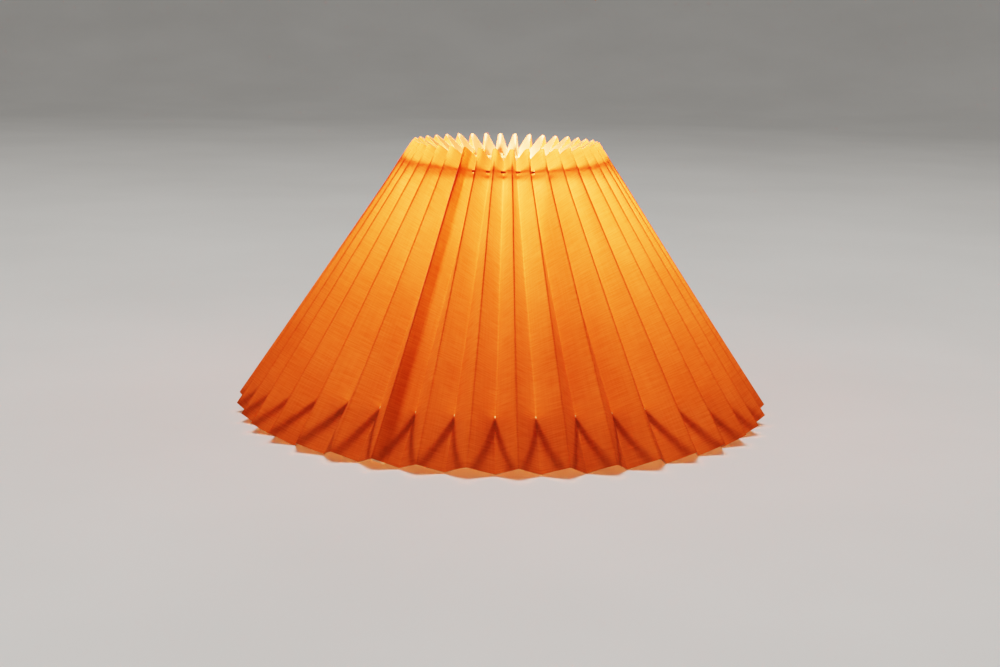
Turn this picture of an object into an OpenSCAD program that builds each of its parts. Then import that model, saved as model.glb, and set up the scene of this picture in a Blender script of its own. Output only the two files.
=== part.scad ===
// Pleated table-lamp shade: one laminated strip folded into a cone, gathered by a cord,
// carried by a wire top ring with a dropped tilting fitter, and kept round by a hem ring.
// It stands on the low points of its hem, with the origin on the axis at that level.

/* [Pleated strip] */
// Number of pleats around the shade
pleats = 38; // [34:2:42]
// Radius of the outward folds at the hem
hem_r = 200; // [190:1:215]
// Radius of the outward folds at the crown
crown_r = 69; // [66:0.5:74]
// Length of every fold, which is the height of the flat strip
fold_len = 235.5; // [225:0.5:245]
// Width of one panel between two folds
panel_w = 21.2; // [20.4:0.1:22]
// Thickness of the laminated sheet
sheet_t = 0.6; // [0.4:0.1:0.8]
// Direction of the first inward fold, from the front towards +X
first_fold = -1.27; // [-4:0.01:4]
// Width of the bonding tape under the lap seam
tape_w = 10; // [6:1:14]
// Thickness of the bonding tape
tape_t = 0.2; // [0.1:0.05:0.4]

/* [Gathering cord] */
// Height of the cord
cord_z = 186.3; // [184:0.1:188]
// Radius of the cord's loop
cord_loop_r = 63; // [61:0.5:65]
// Diameter of the cord
cord_d = 1.8; // [1.2:0.1:2.2]
// Diameter of the punched holes that the cord runs through
cord_hole_d = 2.8; // [2.6:0.1:3.4]
// Diameter of the knot that closes the loop
knot_d = 4; // [3:0.1:4.4]
// Length of the knot along the cord
knot_len = 5; // [4:0.5:6]

/* [Wire rings] */
// Diameter of the wire of both rings
ring_wire_d = 3; // [2.5:0.1:3.5]
// Height of the top ring
top_ring_z = 181.2; // [178:0.1:182]
// Height of the hem ring
hem_ring_z = 32; // [26:0.5:38]
// How deep the hem ring sits in the slits of the inward folds
slit_depth = 0.9; // [0.3:0.1:1.2]

/* [Dropped fitter] */
// Diameter of the wire of the arms
arm_wire_d = 3; // [2.5:0.1:3.2]
// Directions of the arms, from the front towards +X
arm_first = 30; // [25:1:40]
// Height of the tilt axis
tilt_z = 65; // [60:1:80]
// Inner diameter of the fitter ring, for the collar of a lampholder
fitter_bore_d = 41; // [40:0.1:42]
// Outer diameter of the fitter ring
fitter_d = 48; // [47:0.1:49]
// Height of the fitter ring
fitter_h = 4; // [3:0.5:5]
// Inner diameter of the pivot ring
pivot_bore_d = 50.4; // [50:0.1:52]
// Wall of the pivot ring
pivot_wall = 1.8; // [1.5:0.1:2.5]
// Height of the pivot ring
pivot_h = 7; // [6:0.5:9]
// Diameter of the two tilt pins
pin_d = 3; // [2.5:0.1:3.2]
// Diameter of the pin heads
pin_head_d = 5.6; // [5:0.1:6.5]

/* [Hidden] */
$fn = 96;

// The folds, alternately inward and outward, numbered from the first inward one.
folds = 2 * pleats;
fold_step = 360 / folds;
// Lean of the folds from the vertical.
lean = asin((hem_r - crown_r) / fold_len);
// The outward fold where the strip's two ends are joined.
seam_fold = -5;
// Clearances: a ring against a fold, the slits around the hem ring, and a running pin in its hole.
rest_gap = 0.1;
slit_gap = 0.3;
pin_gap = 0.06;
// How far a welded wire melts into its neighbour.
weld_bite = 0.5;

cord_r = cord_d / 2;
ring_r = ring_wire_d / 2;
arm_r = arm_wire_d / 2;
pin_r = pin_d / 2;

// How far an inward fold lies behind the outward folds, square to them, where those have radius r.
// It follows from the panel's constant width.
function pleat_depth(r) =
  let (q = r * (1 - cos(fold_step)))
  q * cos(lean) + sqrt(pow(q * cos(lean), 2) + pow(panel_w, 2) - 2 * r * q);
// Distance from the middle of the sheet to its skin along a fold's bisector.
function mitre(d) = sheet_t / 2 * panel_w / sqrt(pow(panel_w, 2) - pow(d, 2));

// Stations along the folds, as shares of the way from the hem to the crown.
segments = 8;
shares = [for (e = [0 : segments]) e / segments];

function is_out(i) = abs(i) % 2 == 1;
function fold_angle(i) = first_fold + i * fold_step;
function out_r(t) = hem_r + t * (crown_r - hem_r);
hem_tip_z = (pleat_depth(hem_r) + mitre(pleat_depth(hem_r))) * sin(lean);
// Radius and height of fold i at share t, moved out through the sheet by side times the skin's distance.
function fold_rz(i, t, side = 0) =
  let (depth = pleat_depth(out_r(t)))
  let (off = side * mitre(depth) - (is_out(i) ? 0 : depth))
  [out_r(t) + off * cos(lean), hem_tip_z + t * fold_len * cos(lean) + off * sin(lean)];
// A point at radius r and height z in the direction a, from the front towards +X.
function polar(r, a, z) = [r * sin(a), -r * cos(a), z];
function fold_point(i, t, side = 0) =
  let (rz = fold_rz(i, t, side))
  polar(rz[0], fold_angle(i), rz[1]);
function unit(v) = v / norm(v);

// Inside of the inward folds, its radius at height z, and that of a ring of wire radius w resting there.
ridge = [for (t = shares) let (rz = fold_rz(0, t, -1)) [rz[1], rz[0]]];
ridge_lean = atan((ridge[0][1] - ridge[segments][1]) / (ridge[segments][0] - ridge[0][0]));
function inside_r(z) = lookup(z, ridge);
function resting_r(z, w) = inside_r(z) - (w + rest_gap) / cos(ridge_lean);
top_ring_r = resting_r(top_ring_z, ring_r);
hem_ring_r = resting_r(hem_ring_z, ring_r) + slit_depth + rest_gap;

// Wall of the fitter parts.
pivot_out_r = pivot_bore_d / 2 + pivot_wall;
// Wall left in the fitter ring before each tilt pin's tip, and the pin's head and washer.
pin_end_wall = 1.3;
pin_tip_r = fitter_bore_d / 2 + pin_end_wall;
pin_head_h = 1;
pin_head_bite = 0.1;
washer_t = 0.8;
washer_d = 6.2;
// Middle of an arm's wire where it meets the top ring and the pivot ring, as [radius, height].
arm_foot_rise = 1;
arm_head = [top_ring_r - weld_bite, top_ring_z];
arm_foot = [pivot_out_r + arm_r / 2, tilt_z + arm_foot_rise];
// Where the seam tape starts beside its fold, and the shares of the fold between which it runs.
tape_from_fold = 2;
tape_start = 0.03;
tape_end = 0.89;

module ring(r, wire_r) {
  rotate_extrude() translate([r, 0]) circle(wire_r);
}

// The room that a ring needs in the folded sheet: a channel with a corner at every fold.
module ring_channel(r, channel_r) {
  rotate_extrude($fn = folds) translate([r, 0]) circle(channel_r, $fn = 10);
}

module tube(r_out, r_in, h) {
  translate([0, 0, -h / 2])
    difference() {
      cylinder(h = h, r = r_out);
      translate([0, 0, -1]) cylinder(h = h + 2, r = r_in);
    }
}

// A shape along +Y and its twin along -Y.
module front_and_back() {
  for (turn = [0, 180]) rotate([0, 0, turn]) children();
}

// Corners of quadrilaterals, each as two triangles.
function halves(quads) = [for (q = quads) for (half = [[0, 1, 2], [0, 2, 3]]) [for (j = half) q[j]]];

// The folded strip, closed into a cone: two skins, and the cut edges at the hem and the crown.
// Each fold has its outer points from hem to crown and then its inner ones.
module folded_strip() {
  rows = len(shares);
  points = [for (i = [0 : folds - 1]) for (side = [1, -1]) for (t = shares) fold_point(i, t, side)];
  quads = [
    for (i = [0 : folds - 1])
      let (a = 2 * rows * i, b = 2 * rows * ((i + 1) % folds))
      let (c = a + rows, d = b + rows)
      for (
        quad = concat(
          [for (e = [0 : segments - 1]) [a + e, a + e + 1, b + e + 1, b + e]],
          [for (e = [0 : segments - 1]) [c + e, d + e, d + e + 1, c + e + 1]],
          [[a + segments, c + segments, d + segments, b + segments], [a, b, d, c]]
        )
      ) quad
  ];
  polyhedron(points, halves(quads));
}

module pleated_shade() {
  color("sandybrown")
    difference() {
      folded_strip();
      translate([0, 0, cord_z]) ring_channel(cord_loop_r, cord_hole_d / 2);
      translate([0, 0, hem_ring_z]) ring_channel(hem_ring_r, ring_r + slit_gap);
    }
}

// A strip of double-sided tape on the inner face of the first panel beside the seam's fold.
// Each station has its four corners, in order round the section.
module seam_tape() {
  stops = [for (share = shares) tape_start + share * (tape_end - tape_start)];
  points = [
    for (t = stops)
      let (p = fold_point(seam_fold, t), q = fold_point(seam_fold + 1, t))
      let (up = fold_point(seam_fold, 1) - fold_point(seam_fold, 0))
      let (across = unit(q - p), in = unit(cross(up, across)))
      for (c = [[0, 0], [0, 1], [1, 1], [1, 0]])
        p + (tape_from_fold + c[0] * tape_w) * across + (sheet_t / 2 + c[1] * tape_t) * in
  ];
  top = 4 * segments;
  quads = concat(
    [[3, 2, 1, 0], [top, top + 1, top + 2, top + 3]],
    [
      for (e = [0 : segments - 1])
        for (c = [0 : 3])
          let (a = 4 * e + c, b = 4 * e + (c + 1) % 4)
          [a, b, b + 4, a + 4]
    ]
  );
  color("khaki") polyhedron(points, halves(quads));
}

// The cord's loop, closed by a knot behind an outward fold at the back.
module gathering_cord() {
  knot_turn = knot_len / cord_loop_r * 180 / PI;
  knot_middle = fold_angle(pleats + 1) - 90;
  color("dimgray")
    translate([0, 0, cord_z]) {
      rotate([0, 0, knot_middle + knot_turn / 2])
        rotate_extrude(angle = 360 - knot_turn) translate([cord_loop_r, 0]) circle(cord_r);
      rotate([0, 0, knot_middle - knot_turn / 2])
        rotate_extrude(angle = knot_turn) translate([cord_loop_r, 0]) circle(knot_d / 2);
    }
}

module top_ring() {
  color("gainsboro") translate([0, 0, top_ring_z]) ring(top_ring_r, ring_r);
}

module hem_ring() {
  color("gainsboro") translate([0, 0, hem_ring_z]) ring(hem_ring_r, ring_r);
}

// A straight wire from the top ring down to the pivot ring.
module arm(place) {
  along = arm_foot - arm_head;
  color("gainsboro")
    rotate([0, 0, arm_first + 120 * place - 90])
      translate([arm_head[0], 0, arm_head[1]])
        rotate([0, atan2(along[0], along[1]), 0])
          cylinder(h = norm(along), r = arm_r);
}

module arm_right_front() {
  arm(0);
}

module arm_right_back() {
  arm(1);
}

module arm_left() {
  arm(2);
}

module pivot_ring() {
  color("silver")
    translate([0, 0, tilt_z])
      difference() {
        tube(pivot_out_r, pivot_bore_d / 2, pivot_h);
        front_and_back() rotate([-90, 0, 0]) cylinder(h = 2 * pivot_out_r, r = pin_r);
      }
}

module tilt_pins() {
  color("gold")
    translate([0, 0, tilt_z])
      front_and_back()
        rotate([-90, 0, 0]) {
          translate([0, 0, pin_tip_r]) cylinder(h = pivot_out_r - pin_tip_r + pin_head_bite, r = pin_r);
          translate([0, 0, pivot_out_r]) cylinder(h = pin_head_h, r = pin_head_d / 2);
        }
}

module spring_washers() {
  middle = (fitter_d + pivot_bore_d) / 4;
  color("slategray")
    translate([0, 0, tilt_z])
      front_and_back()
        rotate([-90, 0, 0])
          translate([0, 0, middle])
            tube(washer_d / 2, pin_r + pin_gap, washer_t);
}

module fitter_ring() {
  color("white")
    translate([0, 0, tilt_z])
      difference() {
        tube(fitter_d / 2, fitter_bore_d / 2, fitter_h);
        front_and_back()
          rotate([-90, 0, 0])
            translate([0, 0, pin_tip_r - pin_gap])
              cylinder(h = fitter_d, r = pin_r + pin_gap);
      }
}

pleated_shade();
seam_tape();
gathering_cord();
top_ring();
hem_ring();
arm_right_front();
arm_right_back();
arm_left();
pivot_ring();
tilt_pins();
spring_washers();
fitter_ring();
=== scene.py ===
# %% [markdown]
# # A pleated shade for a table lamp
# The real shade is one long strip of linen-look cloth, bonded to a thin white film, folded into
# seventy-six narrow panels and closed into a cone. A cord threaded through punched holes gathers its
# crown, a wire ring inside keeps its hem round, and three wire arms carry a small tilting fitter.
# The wire work is shown as it was designed. The strip and the cord are built again here, because
# cloth needs soft folds, a weave and small errors that a plain solid doesn't have.
# Everything is in metres. The shade stands on the low tips of its hem, with its axis upright.

# %% The fixed frame
import math

import bpy
import numpy as np
from mathutils import Matrix, Vector


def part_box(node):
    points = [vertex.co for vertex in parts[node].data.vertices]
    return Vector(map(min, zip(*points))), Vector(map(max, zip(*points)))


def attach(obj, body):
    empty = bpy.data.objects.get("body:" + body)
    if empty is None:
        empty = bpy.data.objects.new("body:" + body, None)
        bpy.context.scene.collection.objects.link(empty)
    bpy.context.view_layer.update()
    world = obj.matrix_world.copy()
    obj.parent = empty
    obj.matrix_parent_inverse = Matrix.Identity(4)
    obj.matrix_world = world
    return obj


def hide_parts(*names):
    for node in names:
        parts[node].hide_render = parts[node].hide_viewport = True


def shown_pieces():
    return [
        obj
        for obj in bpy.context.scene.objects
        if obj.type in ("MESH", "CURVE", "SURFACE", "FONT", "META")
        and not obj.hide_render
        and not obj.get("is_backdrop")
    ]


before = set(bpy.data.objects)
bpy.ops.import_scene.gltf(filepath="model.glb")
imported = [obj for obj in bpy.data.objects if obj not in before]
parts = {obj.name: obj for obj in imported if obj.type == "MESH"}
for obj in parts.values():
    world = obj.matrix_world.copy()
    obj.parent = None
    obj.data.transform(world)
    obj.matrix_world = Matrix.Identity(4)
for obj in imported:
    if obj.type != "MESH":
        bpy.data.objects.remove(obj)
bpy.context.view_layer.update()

print("frame parts:", ", ".join(sorted(parts)))

# %% [markdown]
# ## Sizes
# A maker would cut the strip first and fold it second, so the strip's own sizes drive everything
# else. Where the frame already holds a place, such as the height of a ring, it is measured there
# rather than typed a second time: two copies of one number sooner or later disagree.

# %% Sizes of the strip, in metres
PLEATS = 38
FOLDS = 2 * PLEATS
PANEL_W = 0.0212
FOLD_LEN = 0.2355
SHEET_T = 0.0006
HEM_R = 0.200
CROWN_R = 0.069
FIRST_FOLD = math.radians(-1.27)
SEAM_FOLD = -5
LAP_W = 0.010
TAPE_T = 0.0002
fold_step = 2 * math.pi / FOLDS
lean = math.asin((HEM_R - CROWN_R) / FOLD_LEN)


# %% Places of the rings and the cord, measured from the frame
def ring_of(node):
    """Middle radius, height and wire radius of a ring that lies flat around the axis."""
    low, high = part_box(node)
    wire_r = (high.z - low.z) / 2
    return high.x - wire_r, (low.z + high.z) / 2, wire_r


hem_ring_r, hem_ring_z, ring_wire_r = ring_of("hem_ring")
top_ring_r, top_ring_z, _ = ring_of("top_ring")
cord_z = sum(c.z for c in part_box("gathering_cord")) / 2
CORD_R = 0.0009
CORD_LOOP_R = 0.063
CORD_HOLE_R = 0.0014
print(f"hem ring r {hem_ring_r:.4f} at {hem_ring_z:.4f}, top ring r {top_ring_r:.4f} at {top_ring_z:.4f}")

# %% [markdown]
# ## Camera
# The shade is looked at from a little above its crown with a moderately long lens, so that the far
# rim shows just over the near one. A camera is placed before anything is built: every later choice
# of detail depends on how large a fold appears. The last turn, about the camera's own axis, makes
# the shade lean a degree to the right, as one does on a fitter that isn't quite straight.

# %% Camera
EYE = Vector((-0.00147, -1.25565, 0.30505))
LOOK_DOWN = math.radians(11.137)
ROLL = math.radians(1.134)
LENS_MM = 60.82
SENSOR_MM = 36

camera_data = bpy.data.cameras.new("camera")
camera_data.lens = LENS_MM
camera_data.sensor_width = SENSOR_MM
camera = bpy.data.objects.new("camera", camera_data)
bpy.context.scene.collection.objects.link(camera)
camera.matrix_world = (
    Matrix.Translation(EYE)
    @ Matrix.Rotation(math.pi / 2 - LOOK_DOWN, 4, "X")
    @ Matrix.Rotation(ROLL, 4, "Z")
)
bpy.context.scene.camera = camera
print("camera", LENS_MM, "mm, at", [round(x, 3) for x in EYE])

# %% [markdown]
# ## The lines of the folds
# Seen from the side, an outward fold is a straight line from the hem to the crown. The inward folds
# lie behind it, and how far follows from one fact: a panel has the same width all the way up, while
# the cone gets narrower. So the pleats get deeper towards the crown, without any further rule.


# %% How deep the pleats are
def out_radius(t):
    """Radius of the outward folds at share t of the way from the hem to the crown."""
    return HEM_R + t * (CROWN_R - HEM_R)


def pleat_depth(r):
    """How far an inward fold lies behind the outward ones, square to them, where those have radius r."""
    q = r * (1 - math.cos(fold_step))
    across = q * math.cos(lean)
    return across + np.sqrt(across**2 + PANEL_W**2 - 2 * r * q)


def skin_reach(d):
    """Distance along a fold's bisector from the middle of the sheet to its skin."""
    return SHEET_T / 2 * PANEL_W / np.sqrt(PANEL_W**2 - d**2)


hem_depth = pleat_depth(HEM_R)
hem_tip_z = (hem_depth + skin_reach(hem_depth)) * math.sin(lean)
print(f"pleats {hem_depth * 1000:.1f} mm deep at the hem, {pleat_depth(CROWN_R) * 1000:.1f} at the crown")

# %% [markdown]
# ## Small errors of the hand
# Pleated cloth is never perfectly even. Each fold gets its own small turn about the axis and its own
# push in or out, largest at the free hem and next to nothing where the cord or a ring holds it.
# The numbers come from one seeded generator, so that each run folds the same shade.

# %% Errors of each fold
hand = np.random.default_rng(38)
hem_turn = np.radians(hand.normal(0, 0.30, FOLDS))
belly_turn = np.radians(hand.normal(0, 0.16, FOLDS))
crown_turn = np.radians(hand.normal(0, 0.28, FOLDS))
hem_push = hand.normal(0, 0.0008, FOLDS)
belly_push = hand.normal(0, 0.0004, FOLDS)
crown_push = hand.normal(0, 0.0005, FOLDS)
panel_bow = hand.normal(0, 0.00035, FOLDS)
around = np.arange(FOLDS) * fold_step
hem_push += 0.0009 * np.sin(2 * around + 0.6) + 0.0007 * np.sin(3 * around + 2.1)


def is_out(fold):
    return fold % 2 == 1


def held(t, fold):
    """From 1, free, to 0, held: the hem ring holds the inward folds, and the cord holds all of them."""
    ring_share = 0.166
    cord_share = 0.953
    free = np.clip(np.abs(t - cord_share) / 0.12, 0.25, 1)
    at_ring = np.clip(np.abs(t - ring_share) / 0.10, 0.05, 1)
    return np.where(is_out(fold), free, free * at_ring)


print("largest turn of a fold at the hem, mm:", round(float(np.abs(hem_turn).max()) * HEM_R * 1000, 1))


# %% A fold's line, as points
def fold_line(fold, t):
    """Points of the folds numbered in fold, at shares t: two arrays of one length."""
    k = np.mod(fold, FOLDS)
    free = held(t, fold)
    low, high, middle = (1 - t) ** 1.5, t**2, 4 * t * (1 - t)
    turn = (hem_turn[k] * low + belly_turn[k] * middle + crown_turn[k] * high) * free
    push = (hem_push[k] * low + belly_push[k] * middle + crown_push[k] * high) * free
    off = push - np.where(is_out(fold), 0, pleat_depth(out_radius(t)))
    angle = FIRST_FOLD + fold * fold_step + turn
    r = out_radius(t) + off * math.cos(lean)
    z = hem_tip_z + t * FOLD_LEN * math.cos(lean) + off * math.sin(lean)
    return np.stack([r * np.sin(angle), -r * np.cos(angle), z], -1)


# %% [markdown]
# ## The strip as a surface
# Any point of the flat strip has two coordinates: how many panels along from the seam, and what
# share of the way up. One function folds such a point into space. It joins two neighbouring fold
# lines with a slightly bowed panel, and rounds each fold, since a bonded sheet can't bend to a
# true edge. Above the cord the pleats spring open, so there each one swells into a petal with a
# round tip. The mesh, the punched holes and the slits all call it, so they always agree.

# %% Folding a point of the strip
FOLD_ROUND = 0.085
FOLD_PULL = 0.020
PETAL_START = 0.91
PETAL_SWELL = 0.0010
PETAL_REACH = 0.0036


def petal(s_from_out, t):
    """How far a panel swells outward near an outward fold, above the cord, where nothing presses it."""
    share = np.clip((t - PETAL_START) / (1 - PETAL_START), 0, 1)
    rise = share * share * (3 - 2 * share)
    reach = s_from_out * PANEL_W / PETAL_REACH
    return PETAL_SWELL * rise * np.sqrt(reach) * np.exp((1 - reach) / 2)



def strip_point(c, t):
    """Points on the middle of the sheet: c panels along from the seam, and share t of the way up."""
    c, t = np.broadcast_arrays(np.asarray(c, float), np.asarray(t, float))
    panel = np.floor(c).astype(int)
    s = c - panel
    before = fold_line(SEAM_FOLD + panel, t)
    after = fold_line(SEAM_FOLD + panel + 1, t)
    point = before * (1 - s)[..., None] + after * s[..., None]
    along_panel = after - before
    up = fold_line(SEAM_FOLD + panel, np.minimum(t + 0.01, 1.0)) - fold_line(
        SEAM_FOLD + panel, np.minimum(t + 0.01, 1.0) - 0.01
    )
    out = np.cross(along_panel, up)
    out /= np.linalg.norm(out, axis=-1, keepdims=True)
    bow = panel_bow[np.mod(SEAM_FOLD + panel, FOLDS)] * np.sin(np.pi * s) * (1 - 0.6 * t)
    from_out = np.where(is_out(SEAM_FOLD + panel), s, 1 - s)
    point = point + out * (bow + petal(from_out, t))[..., None]
    nearest = panel + (s > 0.5)
    gap = np.minimum(s, 1 - s)
    inside = (
        fold_line(SEAM_FOLD + nearest - 1, t) + fold_line(SEAM_FOLD + nearest + 1, t)
    ) / 2 - fold_line(SEAM_FOLD + nearest, t)
    pull = FOLD_PULL * np.clip(1 - gap / FOLD_ROUND, 0, 1) ** 2
    return point + inside * pull[..., None]


def strip_out(c, t):
    """Outward directions of the sheet at those places."""
    step_c, step_t = 0.01, 0.005
    along = strip_point(c + step_c, t) - strip_point(c, t)
    up = strip_point(c, np.minimum(t + step_t, 1)) - strip_point(c, np.minimum(t + step_t, 1) - step_t)
    out = np.cross(along, up)
    return out / np.linalg.norm(out, axis=-1, keepdims=True)


# %% [markdown]
# ## Holes for the cord and slits for the ring
# The holes are punched before the strip is folded, at one distance from the edge. Their places are
# found the other way round here: the cord and the ring have known places, so each panel starts
# with a guess and walks towards them. The steps turn a miss in metres into a share of the strip.


# %% Where the cord and the hem ring pass through the strip
def settle(c, t, move, rounds=12):
    """Walks from c, t towards the place where move says that there is no error left."""
    for _ in range(rounds):
        dc, dt = move(strip_point(c, t))
        c, t = c + dc, t + dt
    return c, t


panels = np.arange(FOLDS)
starts_out = is_out(SEAM_FOLD + panels)
cord_side = np.where(starts_out, -1, 1)


PANELS_PER_DEPTH = 22
SHARES_PER_HEIGHT = 4.6
SHARES_PER_DEPTH = 2.2


def towards_cord(p):
    r, z = np.hypot(p[:, 0], p[:, 1]), p[:, 2]
    deeper = CORD_LOOP_R - r
    rise = (cord_z - z) * SHARES_PER_HEIGHT - deeper * SHARES_PER_DEPTH
    return cord_side * deeper * PANELS_PER_DEPTH, rise


cord_c, cord_t = settle(panels + np.where(starts_out, 0.72, 0.28), np.full(FOLDS, 0.953), towards_cord)
in_folds = panels[~is_out(SEAM_FOLD + panels)]


def towards_ring(p):
    return 0, (hem_ring_z - p[:, 2]) * SHARES_PER_HEIGHT


ring_c, ring_t = settle(in_folds.astype(float), np.full(len(in_folds), 0.166), towards_ring)
check = strip_point(cord_c, cord_t)
miss = np.abs(np.hypot(check[:, 0], check[:, 1]) - CORD_LOOP_R).max()
print("cord holes:", FOLDS, "largest miss, mm:", round(float(miss) * 1000, 3))
print("cord at share", round(float(cord_t.mean()), 4), "of the way up")
print("hem ring slits:", len(in_folds), "at share", round(float(ring_t.mean()), 4))

# %% [markdown]
# ## A grid with holes in it
# The strip is a grid of columns along it and rows up it. Columns stand close together at a fold,
# where the sheet turns quickly, and far apart in the middle of a panel. Round a hole, the inner
# corners of a small block of cells are taken out and its rim is joined to a ring of points on the
# hole's edge. That keeps four-sided faces everywhere, and no cutter is needed.

# %% Columns and rows
near_fold = [0.0, 0.03, 0.07, 0.14, 0.28, 0.42, 0.58, 0.74, 0.86, 0.93, 0.97, 0.99]
from_out_fold = [0.0] + [1 - s for s in reversed(near_fold[1:])]
columns = []
for panel in panels:
    offsets = from_out_fold if starts_out[panel] else near_fold
    columns += [panel + s for s in offsets]
columns = np.array(columns + [float(FOLDS)])

block = 0.0032 / FOLD_LEN
ring_share, cord_share = float(ring_t.mean()), float(cord_t.mean())
rows = np.concatenate(
    [
        np.linspace(0, ring_share - block, 8),
        [ring_share],
        np.linspace(ring_share + block, cord_share - block, 34),
        [cord_share],
        np.linspace(cord_share + block, 1, 5),
    ]
)
print("columns", len(columns), "rows", len(rows))

# %% [markdown]
# ## The strip's points
# The strip ends a little short of a full last panel, and its end is tucked behind its start, where
# the real one is taped to a flange. The hem is trimmed level wherever a fold's small error would
# push its tip through the floor, as a maker trims a hem that doesn't stand flat.

# %% Points of the strip
EDGE_GAP = 0.035
TUCK = 0.0005
TUCK_FROM = 0.35
grid_c, grid_t = np.meshgrid(columns, rows, indexing="ij")
cut_c = np.clip(grid_c, 0, FOLDS - EDGE_GAP)
points = strip_point(cut_c, grid_t)
tucked = np.clip((grid_c - (FOLDS - TUCK_FROM)) / TUCK_FROM, 0, 1) ** 2
points -= strip_out(np.minimum(cut_c, FOLDS - 0.1), grid_t) * (TUCK * tucked)[..., None]
points = points.reshape(-1, 3)
points[:, 2] = np.maximum(points[:, 2], SHEET_T / 2)
flat = np.stack([cut_c * PANEL_W, grid_t * FOLD_LEN], -1).reshape(-1, 2)


# %% Faces of the strip, with room left around each hole
def corner(column, row):
    return column * len(rows) + row


def block_rim(column, row, wide, high):
    """Corners round a block of cells centred on a grid corner, wide and high cells to each side."""
    left, right, low, top = column - wide, column + wide, row - high, row + high
    rim = [(k, low) for k in range(left, right)] + [(right, k) for k in range(low, top)]
    rim += [(k, top) for k in range(right, left, -1)] + [(left, k) for k in range(top, low, -1)]
    return rim


faces = {}
for column in range(len(columns) - 1):
    for row in range(len(rows) - 1):
        faces[(column, row)] = (
            corner(column, row),
            corner(column + 1, row),
            corner(column + 1, row + 1),
            corner(column, row + 1),
        )
hole_points, hole_flat, hole_faces = [], [], []


def open_hole(column, row, wide, high, c, t, half_c, half_t):
    """Opens an oval hole centred at c, t in the block of cells round one grid corner."""
    for i in range(column - wide, column + wide):
        for j in range(row - high, row + high):
            faces.pop((i, j))
    rim = block_rim(column, row, wide, high)
    angles = [
        math.atan2((rows[j] - rows[row]) / half_t, (columns[i] - columns[column]) / half_c) for i, j in rim
    ]
    cs = np.array([c + half_c * math.cos(a) for a in angles])
    ts = np.array([t + half_t * math.sin(a) for a in angles])
    first = len(points) + sum(len(p) for p in hole_points)
    hole_points.append(strip_point(cs, ts))
    hole_flat.append(np.stack([cs * PANEL_W, ts * FOLD_LEN], -1))
    n = len(rim)
    for k in range(n):
        m = (k + 1) % n
        hole_faces.append((corner(*rim[k]), corner(*rim[m]), first + m, first + k))


cord_row = int(np.argmin(np.abs(rows - cord_share)))
ring_row = int(np.argmin(np.abs(rows - ring_share)))
for panel in panels:
    column = int(np.argmin(np.abs(columns - cord_c[panel])))
    half = (CORD_HOLE_R / PANEL_W, CORD_HOLE_R / FOLD_LEN)
    open_hole(column, cord_row, 1, 1, cord_c[panel], cord_t[panel], *half)
SLIT_HALF_W = 0.0008
SLIT_HALF_H = 0.0011
SLIT_RISE = 0.0014
for k, panel in enumerate(in_folds):
    column = int(np.argmin(np.abs(columns - panel)))
    half = (SLIT_HALF_W / PANEL_W, SLIT_HALF_H / FOLD_LEN)
    open_hole(column, ring_row, 3, 1, ring_c[k], ring_t[k] + SLIT_RISE / FOLD_LEN, *half)
print("faces in the strip:", len(faces) + len(hole_faces))

# %% [markdown]
# ## Giving the sheet its thickness
# A sheet without thickness would look like paint in the air. The Solidify modifier makes the two
# skins and the cut edges, and can give each its own material: cloth outside, film inside, and a
# pale raw edge where both were cut. The flat strip's coordinates go with the mesh, so that the
# weave runs along the strip and turns with every panel, as woven threads do. The modifier's even
# offset stays off: at a sharp fold it stretches a corner into a long spike.


# %% Tools for meshes
def new_piece(name, verts, quads, body="shade"):
    """A mesh object that rides on a body of the frame."""
    mesh = bpy.data.meshes.new(name)
    mesh.from_pydata([tuple(v) for v in verts], [], [tuple(q) for q in quads])
    piece = bpy.data.objects.new(name, mesh)
    bpy.context.scene.collection.objects.link(piece)
    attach(piece, body)
    return piece


def bake_modifiers(piece):
    """Keeps the mesh that the modifiers make, and takes the modifiers away."""
    evaluated = piece.evaluated_get(bpy.context.evaluated_depsgraph_get())
    made = bpy.data.meshes.new_from_object(evaluated)
    piece.modifiers.clear()
    piece.data = made
    return made


def smooth(piece, sharp_deg):
    """Smooth shading, broken at edges sharper than an angle."""
    piece.data.shade_smooth()
    piece.data.set_sharp_from_angle(angle=math.radians(sharp_deg))


# %% The pleated strip
def sheet_piece(name, verts, quads, flat_places, thickness):
    """A sheet with its flat coordinates stored, thickened to two skins and a cut edge."""
    piece = new_piece(name, verts, quads)
    places = piece.data.uv_layers.new(name="strip")
    corners = np.zeros(len(piece.data.loops), np.int32)
    piece.data.loops.foreach_get("vertex_index", corners)
    places.data.foreach_set("uv", flat_places[corners].ravel())
    for label in ("cloth", "film", "cut_edge"):
        piece.data.materials.append(bpy.data.materials.get(label) or bpy.data.materials.new(label))
    thick = piece.modifiers.new("thickness", "SOLIDIFY")
    thick.thickness = thickness
    thick.offset = 0
    thick.use_even_offset = False
    thick.material_offset = 1
    thick.material_offset_rim = 2
    bpy.context.view_layer.update()
    bake_modifiers(piece)
    smooth(piece, 65)
    return piece


all_points = np.concatenate([points] + hole_points)
all_flat = np.concatenate([flat] + hole_flat)
shade = sheet_piece("pleated_strip", all_points, list(faces.values()) + hole_faces, all_flat, SHEET_T)
used = [0, 0, 0]
for face in shade.data.polygons:
    used[face.material_index] += 1
print("strip mesh:", len(shade.data.vertices), "points; faces of cloth, film, edge:", used)
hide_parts("pleated_shade")

# %% [markdown]
# ## The lap
# The strip's last ten millimetres are a flange of bare film. It lies inside the first panel with
# bonding tape between them, which is why the seam shows from outside as one dark line with a
# slightly darker band beside it. The flange is a little longer than the strip at the hem, as
# hand-cut flanges are, and peeps out there.

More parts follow.
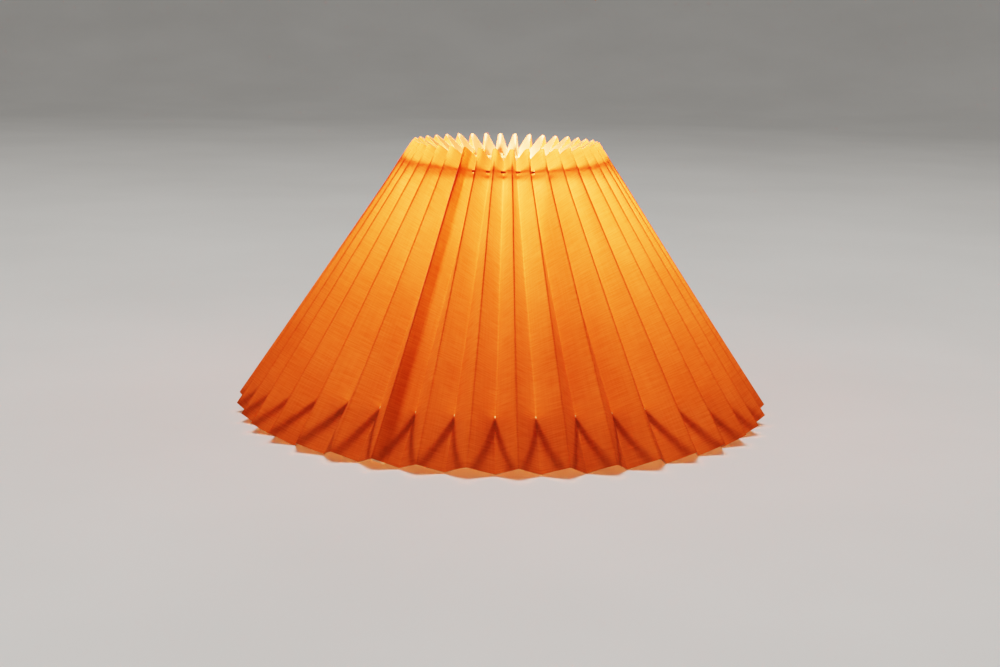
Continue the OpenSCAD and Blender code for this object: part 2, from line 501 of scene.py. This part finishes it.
# %% The lap's flange
LAP_T = 0.00025
LAP_DROP = 0.0012
lap_depth = SHEET_T / 2 + TAPE_T + LAP_T / 2
lap_columns = np.linspace(0.02, LAP_W / PANEL_W, 7)
lap_c, lap_t = np.meshgrid(lap_columns, rows, indexing="ij")
lap_points = strip_point(lap_c, lap_t) - strip_out(lap_c, lap_t) * lap_depth
lap_points[:, 0, 2] -= LAP_DROP
lap_flat = np.stack([(FOLDS + lap_c) * PANEL_W, lap_t * FOLD_LEN], -1).reshape(-1, 2)
lap_faces = [
    (corner(i, j), corner(i + 1, j), corner(i + 1, j + 1), corner(i, j + 1))
    for i in range(len(lap_columns) - 1)
    for j in range(len(rows) - 1)
]
lap = sheet_piece("lap_flange", lap_points.reshape(-1, 3), lap_faces, lap_flat, LAP_T)
print("lap:", len(lap.data.polygons), "faces,", LAP_W * 1000, "mm wide")

# %% [markdown]
# ## The gathering cord
# The cord is three strands laid round each other. A round bar of the same size would read as wire,
# so each strand is its own tube on a helix round the loop's circle. The loop is closed by a knot
# that hides behind a fold at the back, with two short cut ends.


# %% A tube along a line of points
def tube(line, radius, sides, closed):
    """Points and faces of a tube along a line. The section is carried along it with the least twist."""
    line = np.asarray(line, float)
    n = len(line)
    ahead = np.roll(line, -1, 0) - np.roll(line, 1, 0)
    if not closed:
        ahead[0], ahead[-1] = line[1] - line[0], line[-1] - line[-2]
    ahead /= np.linalg.norm(ahead, axis=1, keepdims=True)
    side = np.cross(ahead[0], [0.31, 0.17, 0.93])
    verts = []
    for k in range(n):
        side = side - ahead[k] * (side @ ahead[k])
        side = side / np.linalg.norm(side)
        other = np.cross(ahead[k], side)
        for j in range(sides):
            a = 2 * math.pi * j / sides
            verts.append(line[k] + radius * (math.cos(a) * side + math.sin(a) * other))
    quads = []
    for k in range(n if closed else n - 1):
        for j in range(sides):
            a, b = k * sides + j, k * sides + (j + 1) % sides
            c, d = ((k + 1) % n) * sides + (j + 1) % sides, ((k + 1) % n) * sides + j
            quads.append((a, b, c, d))
    if not closed:
        quads.append(tuple(range(sides - 1, -1, -1)))
        quads.append(tuple((n - 1) * sides + j for j in range(sides)))
    return verts, quads


def gather(meshes):
    """Joins several lists of points and faces into one."""
    verts, quads = [], []
    for some_verts, some_quads in meshes:
        first = len(verts)
        verts += list(some_verts)
        quads += [tuple(first + k for k in q) for q in some_quads]
    return verts, quads


# %% Strands of the cord, its knot and its ends
STRANDS = 3
STRAND_R = 0.00052
STRAND_OFF = 0.00050
LAY = 0.0042
cord_len = 2 * math.pi * CORD_LOOP_R
twists = round(cord_len / LAY)
knot_angle = FIRST_FOLD + (PLEATS + 1) * fold_step


def twisted(line_of, length, closed, per_turn=10):
    """Strands laid round a line. line_of gives the point and two directions square to it at a share."""
    turns = twists if closed else max(1, round(length / LAY))
    count = turns * per_turn
    shares = np.arange(count) / count if closed else np.linspace(0, 1, count + 1)
    made = []
    for strand in range(STRANDS):
        line = []
        for share in shares:
            p, u, v = line_of(share)
            a = 2 * math.pi * (turns * share + strand / STRANDS)
            line.append(p + STRAND_OFF * (math.cos(a) * u + math.sin(a) * v))
        made.append(tube(line, STRAND_R, 6, closed))
    return made


def loop_line(share):
    angle = knot_angle + 2 * math.pi * share
    out = np.array([math.sin(angle), -math.cos(angle), 0])
    return out * CORD_LOOP_R + np.array([0, 0, cord_z]), out, np.array([0, 0, 1.0])


knot_out = np.array([math.sin(knot_angle), -math.cos(knot_angle), 0])
knot_side = np.array([math.cos(knot_angle), math.sin(knot_angle), 0])
knot_up = np.array([0, 0, 1.0])
knot_middle = knot_out * CORD_LOOP_R + knot_up * cord_z
KNOT_SCALE = 0.00072


def knot_point(a):
    x, y, z = math.sin(a) + 2 * math.sin(2 * a), math.cos(a) - 2 * math.cos(2 * a), -math.sin(3 * a)
    return knot_middle + KNOT_SCALE * (x * knot_up + y * knot_out + 1.4 * z * knot_side)


def tail_point(share, sign):
    bend = np.array([0.0, 0.0014, 0.0026]) if sign > 0 else np.array([0.0, -0.0010, 0.0020])
    down = -0.0115 * share if sign > 0 else -0.0088 * share
    sway = bend[1] * math.sin(2.2 * share) - bend[2] * share * share * sign * 0.4
    return knot_middle + knot_up * (down - 0.001) + knot_side * sway - knot_out * (0.0012 + 0.0010 * share)


knot = tube([knot_point(2 * math.pi * k / 48) for k in range(48)], CORD_R * 0.86, 8, True)
tails = []
for sign in (1, -1):
    spine = [tail_point(k / 10, sign) for k in range(11)]
    tails.append(tube(spine, CORD_R * 0.82, 8, False))
cord = new_piece("gathering_cord_laid", *gather(twisted(loop_line, cord_len, True) + [knot] + tails))
smooth(cord, 80)
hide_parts("gathering_cord")
print(f"cord loop {cord_len:.3f} m, {twists} turns of lay, {len(cord.data.polygons)} faces")

# %% [markdown]
# ## Weld beads
# The arms are welded to the rings, and each ring is a bent wire closed by a butt weld. A weld leaves
# a small uneven bead. They are lumps of a few millimetres, so a ball pushed about by a seeded
# noise, stretched along the joint, is enough; the paint later covers wire and bead alike.


# %% A bead
def bead(middle, along, long_r, thick_r, seed):
    """Points and faces of a lump round a middle, longest in the direction along."""
    noise = np.random.default_rng(seed)
    rings, sides = 7, 12
    forward = np.array(along, float) / np.linalg.norm(along)
    side = np.cross(forward, [0.2, 0.3, 0.93])
    side /= np.linalg.norm(side)
    up = np.cross(forward, side)
    verts = []
    for ring in range(rings):
        polar = math.pi * (ring + 0.5) / rings
        for k in range(sides):
            a = 2 * math.pi * k / sides
            r = thick_r * math.sin(polar) * (1 + noise.normal(0, 0.05))
            across = r * (math.cos(a) * side + math.sin(a) * up)
            verts.append(np.array(middle) + forward * long_r * math.cos(polar) + across)
    quads = []
    for ring in range(rings - 1):
        for k in range(sides):
            a, b = ring * sides + k, ring * sides + (k + 1) % sides
            quads.append((a, a + sides, b + sides, b))
    quads.append(tuple(range(sides)))
    quads.append(tuple((rings - 1) * sides + k for k in range(sides - 1, -1, -1)))
    return verts, quads


# %% Beads at the arms and in the rings
ARM_ANGLES = [math.radians(a) for a in (30, 150, 270)]
_, pivot_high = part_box("pivot_ring")
pivot_r = pivot_high.x
beads = []
for k, angle in enumerate(ARM_ANGLES):
    out = np.array([math.sin(angle), -math.cos(angle), 0])
    around_axis = np.array([math.cos(angle), math.sin(angle), 0])
    head = out * (top_ring_r - 0.0012) + np.array([0, 0, top_ring_z - 0.0016])
    foot = out * (pivot_r + 0.0006) + np.array([0, 0, pivot_high.z - 0.0004])
    beads.append(bead(head, around_axis, 0.0031, 0.0019, 10 + k))
    beads.append(bead(foot, around_axis, 0.0028, 0.0017, 20 + k))
for seed, (r, z, angle) in enumerate(
    [(top_ring_r, top_ring_z, math.radians(205)), (hem_ring_r, hem_ring_z, math.radians(207))]
):
    out = np.array([math.sin(angle), -math.cos(angle), 0])
    around_axis = np.array([math.cos(angle), math.sin(angle), 0])
    beads.append(bead(out * r + np.array([0, 0, z]), around_axis, 0.0024, ring_wire_r * 1.16, 30 + seed))
welds = new_piece("weld_beads", *gather(beads))
soft_lump = welds.modifiers.new("soft", "SUBSURF")
soft_lump.levels = 1
bpy.context.view_layer.update()
bake_modifiers(welds)
smooth(welds, 70)
print("weld beads:", len(beads))

# %% [markdown]
# ## Tools for materials
# A material is a small machine of nodes. Two helpers keep the recipes short: one adds a node and
# fills its sockets, one opens a node group, which is an effect with named inputs and outputs that
# several materials can share.


# %% Node helpers
def add(tree, kind, values=None, **settings):
    """Adds a node. values fills input sockets by name or number; a socket given there is linked."""
    node = tree.nodes.new(kind)
    for key, value in settings.items():
        setattr(node, key, value)
    for key, value in (values or {}).items():
        if isinstance(value, bpy.types.NodeSocket):
            tree.links.new(value, node.inputs[key])
        else:
            node.inputs[key].default_value = value
    return node


def new_group(name, inputs, outputs):
    """A node group with named sockets. inputs is a list of (name, type, default)."""
    tree = bpy.data.node_groups.new(name, "ShaderNodeTree")
    for label, kind, default in inputs:
        socket = tree.interface.new_socket(label, in_out="INPUT", socket_type=kind)
        if default is not None:
            socket.default_value = default
    for label, kind in outputs:
        tree.interface.new_socket(label, in_out="OUTPUT", socket_type=kind)
    return tree, tree.nodes.new("NodeGroupInput"), tree.nodes.new("NodeGroupOutput")


def use_group(tree, group, values=None):
    """Places a node group in a material."""
    node = tree.nodes.new("ShaderNodeGroup")
    node.node_tree = group
    for key, value in (values or {}).items():
        if isinstance(value, bpy.types.NodeSocket):
            tree.links.new(value, node.inputs[key])
        else:
            node.inputs[key].default_value = value
    return node


def maths(tree, operation, a, b=None):
    values = {0: a} if b is None else {0: a, 1: b}
    return add(tree, "ShaderNodeMath", values, operation=operation).outputs[0]


def empty_material(name):
    material = bpy.data.materials.get(name) or bpy.data.materials.new(name)
    material.use_nodes = True
    material.node_tree.nodes.clear()
    return material, material.node_tree


FLOAT, VECTOR = "NodeSocketFloat", "NodeSocketVector"

# %% [markdown]
# ## The weave
# Linen-look cloth has threads of uneven thickness. From across a room, single threads can't be
# seen; what shows is the slubs, the thick stretches of thread, as fine broken lines along the strip
# and fainter ones up it. The group makes both, and close up a plain weave of crossing threads. It
# reads the flat strip's coordinates in metres, so its scale is the cloth's own.


# %% Weave group
def make_weave():
    tree, given, result = new_group(
        "slub_weave",
        [("Strip", VECTOR, None), ("Threads per metre", FLOAT, 1900.0), ("Slub length", FLOAT, 1.0)],
        [("Slub", FLOAT), ("Height", FLOAT)],
    )
    strip = given.outputs["Strip"]
    length = given.outputs["Slub length"]
    along = add(tree, "ShaderNodeVectorMath", {0: strip, 1: (64, 1150, 1)}, operation="MULTIPLY").outputs[0]
    upward = add(tree, "ShaderNodeVectorMath", {0: strip, 1: (900, 26, 1)}, operation="MULTIPLY").outputs[0]
    weft = add(tree, "ShaderNodeTexNoise", {"Vector": along, "Scale": length, "Detail": 3.0}).outputs[0]
    warp = add(tree, "ShaderNodeTexNoise", {"Vector": upward, "Scale": length, "Detail": 3.0}).outputs[0]
    weft_part = maths(tree, "MULTIPLY", weft, 0.72)
    slub = maths(tree, "MULTIPLY_ADD", warp, 0.28)
    tree.links.new(weft_part, slub.node.inputs[2])
    split = add(tree, "ShaderNodeSeparateXYZ", {0: strip})
    pitch = maths(tree, "MULTIPLY", given.outputs["Threads per metre"], math.pi)
    across_u = maths(tree, "SINE", maths(tree, "MULTIPLY", split.outputs[0], pitch))
    across_v = maths(tree, "SINE", maths(tree, "MULTIPLY", split.outputs[1], pitch))
    pillow = maths(tree, "ABSOLUTE", maths(tree, "MULTIPLY", across_u, across_v))
    height = maths(tree, "MULTIPLY_ADD", slub, 0.8)
    tree.links.new(maths(tree, "MULTIPLY", pillow, 0.35), height.node.inputs[2])
    tree.links.new(slub, result.inputs["Slub"])
    tree.links.new(height, result.inputs["Height"])
    return tree


weave = make_weave()
print("weave group:", len(weave.nodes), "nodes")


# %% [markdown]
# ## Dust and uneven tone
# Every surface in a house has a little dust and uneven tone. This group gives a slow, soft noise in
# the object's own coordinates. The wire's paint, the film and the steel use it with other values.


# %% Uneven tone group
def make_tone():
    tree, given, result = new_group(
        "uneven_tone",
        [("Scale", FLOAT, 30.0), ("Grain scale", FLOAT, 900.0)],
        [("Tone", FLOAT), ("Grain", FLOAT)],
    )
    place = add(tree, "ShaderNodeTexCoord").outputs["Object"]
    slow = add(
        tree, "ShaderNodeTexNoise", {"Vector": place, "Scale": given.outputs["Scale"], "Detail": 4.0}
    ).outputs[0]
    fine = add(
        tree, "ShaderNodeTexNoise", {"Vector": place, "Scale": given.outputs["Grain scale"], "Detail": 2.0}
    ).outputs[0]
    tree.links.new(slow, result.inputs["Tone"])
    tree.links.new(fine, result.inputs["Grain"])
    return tree


uneven = make_tone()


# %% [markdown]
# ## Cloth, film and cut edge
# Lit from inside, the cloth glows because light goes through it. A Translucent shader carries that
# light, and a Principled shader gives the cloth its look from outside; a Mix joins them. The
# slubs let less light through than the thin places, so one and the same mask drives both colours.
# The outside base colour is deep orange. Its light and dark slub threads are real, but the orange
# tint is a painted glow of the warm lamp, which shows even when no lamp is inside.


# %% A ramp between two colours
def blend_colours(tree, mask, dark, light, low=0.35, high=0.65):
    """Turns a mask into a colour between two others."""
    ramp = add(tree, "ShaderNodeValToRGB", {0: mask})
    ramp.color_ramp.elements[0].position = low
    ramp.color_ramp.elements[1].position = high
    ramp.color_ramp.elements[0].color = (*dark, 1)
    ramp.color_ramp.elements[1].color = (*light, 1)
    return ramp.outputs[0]


# %% Cloth
# Base colours of the cloth: real light and dark slub threads, tinted deep orange as a painted glow of the
# warm lamp.
CLOTH_DARK_PAINTED_GLOW = (0.60, 0.150, 0.036)
CLOTH_LIGHT_PAINTED_GLOW = (0.78, 0.235, 0.062)
GLOW_DARK = (0.80, 0.250, 0.115)
GLOW_LIGHT = (0.98, 0.355, 0.185)
CLOTH_GLOW_SHARE = 0.80


def make_cloth():
    material, tree = empty_material("cloth")
    strip = add(tree, "ShaderNodeUVMap", uv_map="strip").outputs[0]
    threads = use_group(tree, weave, {"Strip": strip})
    slub, height = threads.outputs["Slub"], threads.outputs["Height"]
    skin = add(tree, "ShaderNodeBsdfPrincipled", {"Sheen Weight": 0.06, "Specular IOR Level": 0.25})
    tree.links.new(blend_colours(tree, slub, CLOTH_DARK_PAINTED_GLOW, CLOTH_LIGHT_PAINTED_GLOW), skin.inputs["Base Color"])
    rough = add(tree, "ShaderNodeMapRange", {0: slub, 3: 0.95, 4: 0.75}).outputs[0]
    tree.links.new(rough, skin.inputs["Roughness"])
    bump = add(tree, "ShaderNodeBump", {"Strength": 0.5, "Distance": 0.0003, "Height": height}).outputs[0]
    tree.links.new(bump, skin.inputs["Normal"])
    glow = add(tree, "ShaderNodeBsdfTranslucent", {"Normal": bump})
    tree.links.new(blend_colours(tree, slub, GLOW_DARK, GLOW_LIGHT), glow.inputs["Color"])
    both = add(tree, "ShaderNodeMixShader", {0: CLOTH_GLOW_SHARE, 1: skin.outputs[0], 2: glow.outputs[0]})
    add(tree, "ShaderNodeOutputMaterial", {0: both.outputs[0]})
    return material


# %% Film
FILM_DARK = (0.70, 0.62, 0.50)
FILM_LIGHT = (0.80, 0.74, 0.64)
FILM_GLOW_SHARE = 0.74
BARE_FILM_GLOW_SHARE = 0.85


def make_film(name, dark, light, clearness):
    material, tree = empty_material(name)
    tone = use_group(tree, uneven, {"Scale": 24.0, "Grain scale": 700.0})
    colour = blend_colours(tree, tone.outputs["Tone"], dark, light)
    skin = add(tree, "ShaderNodeBsdfPrincipled", {"Base Color": colour})
    rough = add(tree, "ShaderNodeMapRange", {0: tone.outputs["Tone"], 3: 0.36, 4: 0.52}).outputs[0]
    tree.links.new(rough, skin.inputs["Roughness"])
    bump = add(
        tree,
        "ShaderNodeBump",
        {"Strength": 0.25, "Distance": 0.0001, "Height": tone.outputs["Grain"]},
    ).outputs[0]
    tree.links.new(bump, skin.inputs["Normal"])
    glow = add(tree, "ShaderNodeBsdfTranslucent", {"Color": colour})
    both = add(tree, "ShaderNodeMixShader", {0: clearness, 1: skin.outputs[0], 2: glow.outputs[0]})
    add(tree, "ShaderNodeOutputMaterial", {0: both.outputs[0]})
    return material


# %% Cut edge
def make_cut_edge():
    material, tree = empty_material("cut_edge")
    strip = add(tree, "ShaderNodeUVMap", uv_map="strip").outputs[0]
    threads = use_group(tree, weave, {"Strip": strip, "Slub length": 4.0})
    colour = blend_colours(tree, threads.outputs["Slub"], (0.78, 0.52, 0.30), (0.95, 0.80, 0.60))
    skin = add(tree, "ShaderNodeBsdfPrincipled", {"Base Color": colour, "Roughness": 0.9})
    bump = add(
        tree, "ShaderNodeBump", {"Strength": 0.6, "Distance": 0.0002, "Height": threads.outputs["Height"]}
    ).outputs[0]
    tree.links.new(bump, skin.inputs["Normal"])
    glow = add(tree, "ShaderNodeBsdfTranslucent", {"Color": colour})
    both = add(tree, "ShaderNodeMixShader", {0: 0.4, 1: skin.outputs[0], 2: glow.outputs[0]})
    add(tree, "ShaderNodeOutputMaterial", {0: both.outputs[0]})
    return material


make_cloth()
make_cut_edge()
make_film("film", FILM_DARK, FILM_LIGHT, FILM_GLOW_SHARE)
bare_film = make_film("bare_film", (0.90, 0.84, 0.74), (0.98, 0.95, 0.88), BARE_FILM_GLOW_SHARE)
for index in range(3):
    lap.data.materials[index] = bare_film
print("strip materials:", [m.name for m in shade.data.materials])


# %% [markdown]
# ## Paint, steel, tape and cord
# The wire is painted off-white: fine orange peel, some yellowing, and a trace of wear. The pins and
# their washers are plain steel with marks of the lathe, running round each pin. The tape is a thin
# yellowish film, and the cord a dull grey-brown yarn.


# %% Painted wire
def make_paint(name, dark, light, rough_low, rough_high):
    material, tree = empty_material(name)
    tone = use_group(tree, uneven, {"Scale": 90.0, "Grain scale": 2600.0})
    colour = blend_colours(tree, tone.outputs["Tone"], dark, light, 0.3, 0.6)
    skin = add(tree, "ShaderNodeBsdfPrincipled", {"Base Color": colour, "Coat Weight": 0.2})
    spread = {0: tone.outputs["Tone"], 3: rough_high, 4: rough_low}
    rough = add(tree, "ShaderNodeMapRange", spread).outputs[0]
    tree.links.new(rough, skin.inputs["Roughness"])
    bump = add(
        tree, "ShaderNodeBump", {"Strength": 0.35, "Distance": 0.00012, "Height": tone.outputs["Grain"]}
    ).outputs[0]
    tree.links.new(bump, skin.inputs["Normal"])
    add(tree, "ShaderNodeOutputMaterial", {0: skin.outputs[0]})
    return material


# %% Turned steel
def make_steel():
    material, tree = empty_material("turned_steel")
    place = add(tree, "ShaderNodeTexCoord").outputs["Object"]
    marks_scale = {0: place, 1: (900, 9000, 900)}
    lathe = add(tree, "ShaderNodeVectorMath", marks_scale, operation="MULTIPLY").outputs[0]
    marks = add(tree, "ShaderNodeTexNoise", {"Vector": lathe, "Scale": 1.0, "Detail": 3.0}).outputs[0]
    tone = use_group(tree, uneven, {"Scale": 260.0, "Grain scale": 3000.0})
    colour = blend_colours(tree, tone.outputs["Tone"], (0.42, 0.40, 0.37), (0.62, 0.60, 0.57))
    skin = add(tree, "ShaderNodeBsdfPrincipled", {"Base Color": colour, "Metallic": 1.0})
    rough = add(tree, "ShaderNodeMapRange", {0: marks, 3: 0.22, 4: 0.42}).outputs[0]
    tree.links.new(rough, skin.inputs["Roughness"])
    bump = add(tree, "ShaderNodeBump", {"Strength": 0.3, "Distance": 0.00005, "Height": marks}).outputs[0]
    tree.links.new(bump, skin.inputs["Normal"])
    add(tree, "ShaderNodeOutputMaterial", {0: skin.outputs[0]})
    return material


# %% Tape and cord yarn
def make_tape():
    material, tree = empty_material("bonding_tape")
    tone = use_group(tree, uneven, {"Scale": 60.0, "Grain scale": 1500.0})
    colour = blend_colours(tree, tone.outputs["Tone"], (0.66, 0.50, 0.26), (0.80, 0.68, 0.42))
    skin = add(tree, "ShaderNodeBsdfPrincipled", {"Base Color": colour})
    rough = add(tree, "ShaderNodeMapRange", {0: tone.outputs["Grain"], 3: 0.3, 4: 0.5}).outputs[0]
    tree.links.new(rough, skin.inputs["Roughness"])
    clear = add(tree, "ShaderNodeBsdfTransparent")
    both = add(tree, "ShaderNodeMixShader", {0: 0.78, 1: skin.outputs[0], 2: clear.outputs[0]})
    add(tree, "ShaderNodeOutputMaterial", {0: both.outputs[0]})
    return material


def make_yarn():
    material, tree = empty_material("yarn")
    place = add(tree, "ShaderNodeTexCoord").outputs["Object"]
    hair = add(tree, "ShaderNodeTexNoise", {"Vector": place, "Scale": 4200.0, "Detail": 3.0}).outputs[0]
    colour = blend_colours(tree, hair, (0.10, 0.045, 0.018), (0.26, 0.13, 0.06))
    skin = add(tree, "ShaderNodeBsdfPrincipled", {"Base Color": colour, "Sheen Weight": 0.3})
    rough = add(tree, "ShaderNodeMapRange", {0: hair, 3: 0.95, 4: 0.8}).outputs[0]
    tree.links.new(rough, skin.inputs["Roughness"])
    bump = add(tree, "ShaderNodeBump", {"Strength": 0.7, "Distance": 0.0002, "Height": hair}).outputs[0]
    tree.links.new(bump, skin.inputs["Normal"])
    add(tree, "ShaderNodeOutputMaterial", {0: skin.outputs[0]})
    return material


# %% Finishes on the parts of the frame
wire_paint = make_paint("wire_paint", (0.58, 0.53, 0.44), (0.74, 0.71, 0.64), 0.34, 0.5)
fitter_paint = make_paint("fitter_paint", (0.66, 0.63, 0.57), (0.84, 0.82, 0.77), 0.28, 0.42)
finishes = {
    "seam_tape": make_tape(),
    "top_ring": wire_paint,
    "hem_ring": wire_paint,
    "arm_right_front": wire_paint,
    "arm_right_back": wire_paint,
    "arm_left": wire_paint,
    "pivot_ring": wire_paint,
    "fitter_ring": fitter_paint,
    "tilt_pins": make_steel(),
}
finishes["spring_washers"] = finishes["tilt_pins"]
for name, finish in finishes.items():
    for place in parts[name].material_slots:
        place.material = finish
cord.data.materials.append(make_yarn())
welds.data.materials.append(wire_paint)
print("finished parts:", ", ".join(finishes))

# %% [markdown]
# ## Floor and light
# The floor is a wide pale dish whose rim curves up, so that every view has the same plain ground
# and no corner. Its underside is clear, which lets a camera below it look up into the shade. The
# lamp inside is a small warm ball of light in the upper part of the shade, a little off its axis,
# where its glow falls as it should. It isn't a part: it only shows how the cloth glows. A shade on
# a lamp has no floor close below it to throw light back, so the lamp is linked to the shade alone,
# and light that bounces doesn't meet the floor. Round it, a soft sky and one wide panel make a
# studio, and a second panel, linked to the floor alone, keeps the floor pale.

# %% Floor
FLOOR_R = 3.2
RIM_R = 2.0
RIM_STEPS = 10
FLOOR_SIDES = 64
outline = [(0.02, 0.0), (0.6, 0.0), (1.6, 0.0), (FLOOR_R, 0.0)]
for k in range(1, RIM_STEPS + 1):
    a = math.pi / 2 * k / RIM_STEPS
    outline.append((FLOOR_R + RIM_R * math.sin(a), RIM_R * (1 - math.cos(a))))
outline.append((FLOOR_R + RIM_R, RIM_R + 2.5))
floor_points = [(0, 0, 0)]
for r, z in outline:
    floor_points += [
        (r * math.cos(2 * math.pi * k / FLOOR_SIDES), r * math.sin(2 * math.pi * k / FLOOR_SIDES), z)
        for k in range(FLOOR_SIDES)
    ]
floor_faces = [(0, 1 + k, 1 + (k + 1) % FLOOR_SIDES) for k in range(FLOOR_SIDES)]
for ring in range(len(outline) - 1):
    for k in range(FLOOR_SIDES):
        a, b = 1 + ring * FLOOR_SIDES + k, 1 + ring * FLOOR_SIDES + (k + 1) % FLOOR_SIDES
        floor_faces.append((a, a + FLOOR_SIDES, b + FLOOR_SIDES, b))
floor_mesh = bpy.data.meshes.new("studio_floor")
floor_mesh.from_pydata(floor_points, [], floor_faces)
floor = bpy.data.objects.new("studio_floor", floor_mesh)
bpy.context.scene.collection.objects.link(floor)
floor.data.shade_smooth()
floor.visible_diffuse = False
floor.visible_transmission = False
floor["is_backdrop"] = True


def make_floor_paint():
    material, tree = empty_material("pale_floor")
    tone = use_group(tree, uneven, {"Scale": 3.0, "Grain scale": 400.0})
    colour = blend_colours(tree, tone.outputs["Tone"], (0.78, 0.77, 0.75), (0.83, 0.82, 0.80))
    skin = add(tree, "ShaderNodeBsdfPrincipled", {"Base Color": colour, "Roughness": 0.8})
    clear = add(tree, "ShaderNodeBsdfTransparent")
    below = add(tree, "ShaderNodeNewGeometry").outputs["Backfacing"]
    both = add(tree, "ShaderNodeMixShader", {0: below, 1: skin.outputs[0], 2: clear.outputs[0]})
    add(tree, "ShaderNodeOutputMaterial", {0: both.outputs[0]})
    return material


floor.data.materials.append(make_floor_paint())
print("floor faces:", len(floor_faces))


# %% Light
def new_light(name, kind, energy, colour, place):
    data = bpy.data.lights.new(name, kind)
    data.energy = energy
    data.color = colour
    light = bpy.data.objects.new(name, data)
    bpy.context.scene.collection.objects.link(light)
    light.location = place
    return light


LAMP_PLACE = (0.006, 0.014, 0.166)
LAMP_R = 0.015
LAMP_POWER = 11.5
LAMP_COLOUR = (1.0, 0.38, 0.15)
lamp = new_light("lamp_inside", "POINT", LAMP_POWER, LAMP_COLOUR, LAMP_PLACE)
lamp.data.shadow_soft_size = LAMP_R
lamp.visible_camera = False
lit_by_lamp = bpy.data.collections.new("lit_by_lamp")
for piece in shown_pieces():
    lit_by_lamp.objects.link(piece)
lamp.light_linking.receiver_collection = lit_by_lamp
PANEL_POWER = 26.0
panel = new_light("studio_panel", "AREA", PANEL_POWER, (1.0, 0.98, 0.95), (-0.5, -0.4, 3.2))
panel.data.shape = "DISK"
panel.data.size = 2.4
panel.rotation_euler = (Vector((0, 0, 0.1)) - panel.location).to_track_quat("-Z", "Y").to_euler()
WASH_POWER = 60.0
wash = new_light("floor_wash", "AREA", WASH_POWER, (1.0, 0.98, 0.95), (0.3, -0.6, 3.4))
wash.data.shape = "DISK"
wash.data.size = 2.8
only_floor = bpy.data.collections.new("only_floor")
only_floor.objects.link(floor)
wash.light_linking.receiver_collection = only_floor

world = bpy.data.worlds.new("studio")
world.use_nodes = True
sky = world.node_tree.nodes["Background"]
sky.inputs["Color"].default_value = (1.0, 0.985, 0.96, 1)
SKY_STRENGTH = 0.11
sky.inputs["Strength"].default_value = SKY_STRENGTH
bpy.context.scene.world = world
view = bpy.context.scene.view_settings
view.view_transform = "Filmic"
view.look = "High Contrast"
print("lights:", lamp.name, panel.name, wash.name)
